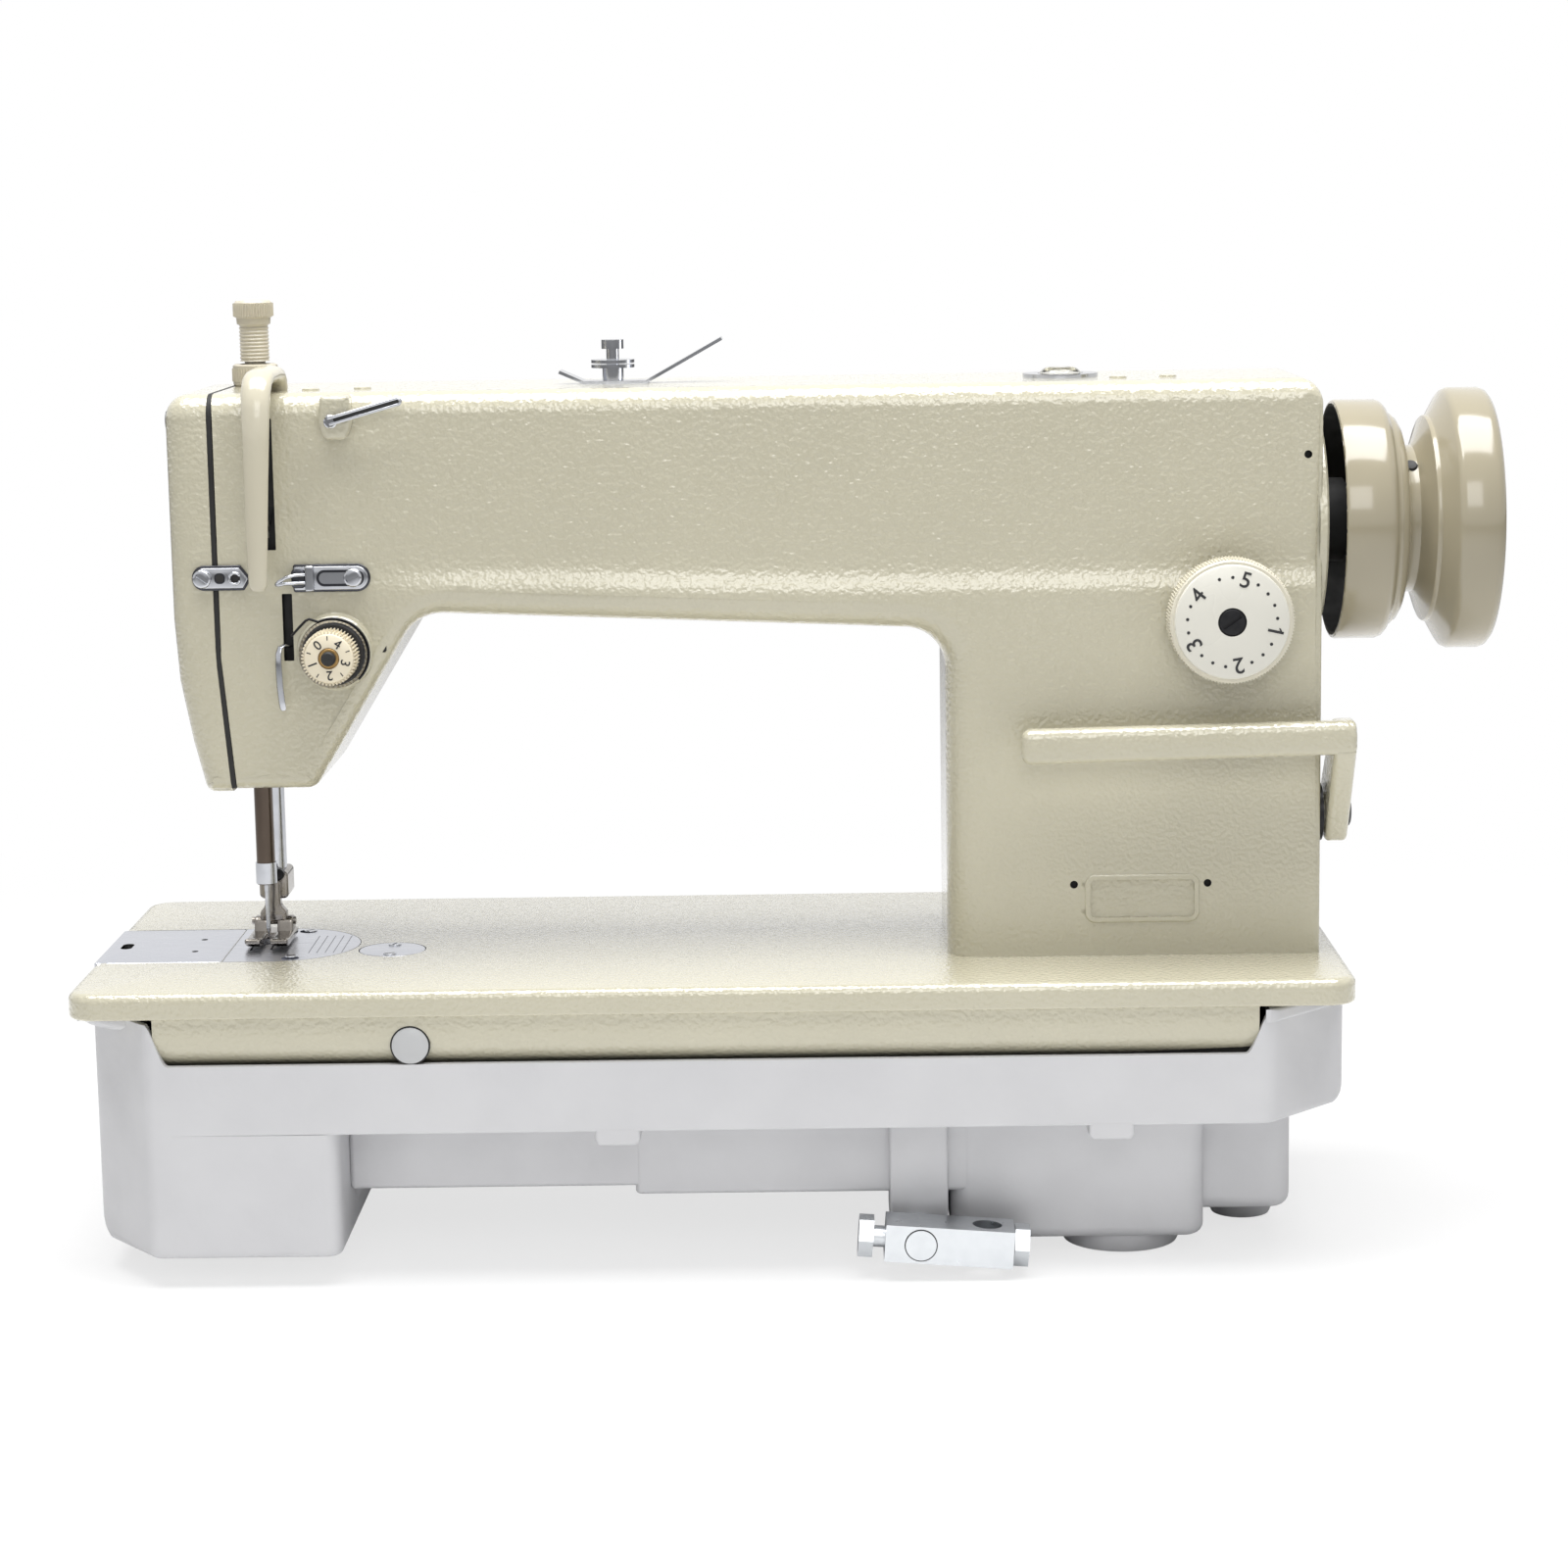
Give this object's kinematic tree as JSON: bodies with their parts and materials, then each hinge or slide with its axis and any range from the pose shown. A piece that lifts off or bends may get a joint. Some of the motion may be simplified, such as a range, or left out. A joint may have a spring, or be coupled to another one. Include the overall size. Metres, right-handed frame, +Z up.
{
  "type": "industrial lockstitch sewing machine head",
  "caption": "Industrial flat-bed lockstitch sewing machine head with a long arm, handwheel, reverse lever, stitch dial and thread tension, standing on its oil pan with a knee lifter.",
  "frame": {"origin": "centre of the bounding box, on the plane that the feet of the oil pan stand on", "axes": "+X along the arm from the needle to the handwheel, +Y away from the operator, +Z up"},
  "size_m": [0.5346, 0.1792, 0.3613],
  "materials": {
    "enamel": "wrinkle enamel, glossy",
    "wheel_paint": "smooth gloss enamel",
    "pan_metal": "as cast, painted light grey",
    "steel": "ground",
    "chrome": "plated",
    "black_rubber": "matt",
    "bronze": "turned",
    "black_steel": "blackened",
    "dial_plastic": "moulded",
    "clear_plastic": "clear"
  },
  "bodies": {
    "frame": {"arm_bolts": "steel", "arm_casting": "enamel", "arm_thread_pin": "chrome", "bar_bushes": "bronze", "bed_casting": "enamel", "bed_cover": "steel", "bed_plug": "black_rubber", "bobbin_case": "steel", "cover_screws": "black_steel", "face_plate": "enamel", "face_plate_gasket": "black_rubber", "left_thread_guide": "chrome", "lower_shaft_bushes": "bronze", "main_shaft_bushes": "bronze", "needle_plate": "steel", "oil_pan": "pan_metal", "oil_window": "clear_plastic", "oil_window_ring": "chrome", "pan_cushions": "black_rubber", "plate_screws": "steel", "presser_spring": "steel", "pressure_lock_nut": "dial_plastic", "pretension_post": "steel", "rear_cover": "enamel", "right_thread_guide": "chrome", "take_up_guard": "enamel", "tension_discs": "chrome", "tension_stud": "bronze", "thread_guide_screws": "steel", "thread_hook": "chrome", "top_thread_guide": "chrome"},
    "drive": {"main_shaft": "steel", "handwheel": "wheel_paint", "main_bevel_gear": "steel", "needle_crank": "steel"},
    "link": {"needle_link": "steel"},
    "upright": {"upright_shaft": "steel", "upright_gears": "steel"},
    "hook": {"hook_shaft": "steel", "hook_pinion": "steel", "rotary_hook": "steel"},
    "bobbin_body": {"bobbin": "steel"},
    "needle_group": {"needle_bar": "steel", "needle_clamp": "steel", "needle": "steel"},
    "take_up": {"take_up_lever": "chrome"},
    "presser": {"presser_bar": "steel", "foot_shank": "steel"},
    "sole": {"foot_sole": "steel"},
    "tension_knob": {"tension_dial": "dial_plastic"},
    "check": {"check_spring": "chrome"},
    "stitch_knob": {"stitch_dial": "dial_plastic"},
    "reverse": {"reverse_lever": "enamel"},
    "pressure": {"pressure_screw": "dial_plastic"},
    "slide": {"slide_plate": "steel"},
    "feed": {"feed_dog": "steel"},
    "knee": {"knee_block": "steel", "knee_shaft": "steel", "knee_bolts": "steel"},
    "lifter": {"hand_lifter": "steel"}
  },
  "joints": [
    {"name": "main_spin", "type": "hinge", "parent": "frame", "child": "drive", "pos_m": [0.20025, 0.00065, 0.2725], "axis": [1, 0, 0], "continuous": true},
    {"name": "link_swing", "type": "hinge", "parent": "drive", "child": "link", "pos_m": [-0.19015, -0.01411, 0.2681], "axis": [1, 0, 0], "continuous": true},
    {"name": "upright_spin", "type": "hinge", "parent": "frame", "child": "upright", "pos_m": [0.12525, 0.00065, 0.112], "axis": [0, 0, 1], "continuous": true},
    {"name": "hook_spin", "type": "hinge", "parent": "frame", "child": "hook", "pos_m": [-0.20475, 0.00065, 0.079], "axis": [1, 0, 0], "continuous": true},
    {"name": "bobbin_spin", "type": "hinge", "parent": "frame", "child": "bobbin_body", "pos_m": [-0.21975, 0.00065, 0.079], "axis": [1, 0, 0], "continuous": true},
    {"name": "needle_bar_slide", "type": "slide", "parent": "frame", "child": "needle_group", "axis": [0, 0, 1], "range_m": [-0.011, 0.0198]},
    {"name": "take_up_swing", "type": "hinge", "parent": "frame", "child": "take_up", "pos_m": [-0.19275, 0.00865, 0.302], "axis": [-1, 0, 0], "range_deg": [-4, 39]},
    {"name": "presser_lift", "type": "slide", "parent": "frame", "child": "presser", "axis": [0, 0, 1], "range_m": [0, 0.013], "deforming": ["presser_spring"]},
    {"name": "sole_tilt", "type": "hinge", "parent": "presser", "child": "sole", "pos_m": [-0.20475, 0.01015, 0.12], "axis": [1, 0, 0], "range_deg": [-3, 3], "stiffness_Nm_per_rad": 0.2},
    {"name": "tension_turn", "type": "hinge", "parent": "frame", "child": "tension_knob", "pos_m": [-0.16875, -0.04485, 0.232], "axis": [0, -1, 0], "range_deg": [-180, 180]},
    {"name": "check_spring_swing", "type": "hinge", "parent": "frame", "child": "check", "pos_m": [-0.16875, -0.04485, 0.232], "axis": [0, 1, 0], "range_deg": [0, 30], "stiffness_Nm_per_rad": 0.02, "springref_deg": -17.19},
    {"name": "stitch_dial_turn", "type": "hinge", "parent": "frame", "child": "stitch_knob", "pos_m": [0.16475, -0.04235, 0.2406], "axis": [0, -1, 0], "range_deg": [0, 300]},
    {"name": "reverse_swing", "type": "hinge", "parent": "frame", "child": "reverse", "pos_m": [0.20025, -0.02735, 0.164], "axis": [1, 0, 0], "range_deg": [0, 18], "stiffness_Nm_per_rad": 0.8, "springref_deg": -20.05},
    {"name": "pressure_turn", "type": "hinge", "parent": "frame", "child": "pressure", "pos_m": [-0.20475, 0.02265, 0.3285], "axis": [0, 0, 1], "range_deg": [-180, 180]},
    {"name": "slide_plate_open", "type": "slide", "parent": "frame", "child": "slide", "axis": [-1, 0, 0], "range_m": [0, 0.042]},
    {"name": "feed_slide", "type": "slide", "parent": "frame", "child": "feed", "axis": [0, 1, 0], "range_m": [-0.0025, 0.0025]},
    {"name": "knee_swing", "type": "hinge", "parent": "frame", "child": "knee", "pos_m": [0.04725, -0.06535, 0.0135], "axis": [0, -1, 0], "range_deg": [0, 18], "stiffness_Nm_per_rad": 0.5, "springref_deg": -17.19},
    {"name": "hand_lift_swing", "type": "hinge", "parent": "frame", "child": "lifter", "pos_m": [-0.19475, 0.04465, 0.207], "axis": [0, -1, 0], "range_deg": [0, 70]}
  ],
  "couplings": [
    {"joint": "link_swing", "follows": "main_spin", "ratio": -1},
    {"joint": "upright_spin", "follows": "main_spin", "ratio": 1},
    {"joint": "hook_spin", "follows": "main_spin", "ratio": 2},
    {"joint": "presser_lift", "follows": "knee_swing", "m_per_rad": 0.04138}
  ]
}
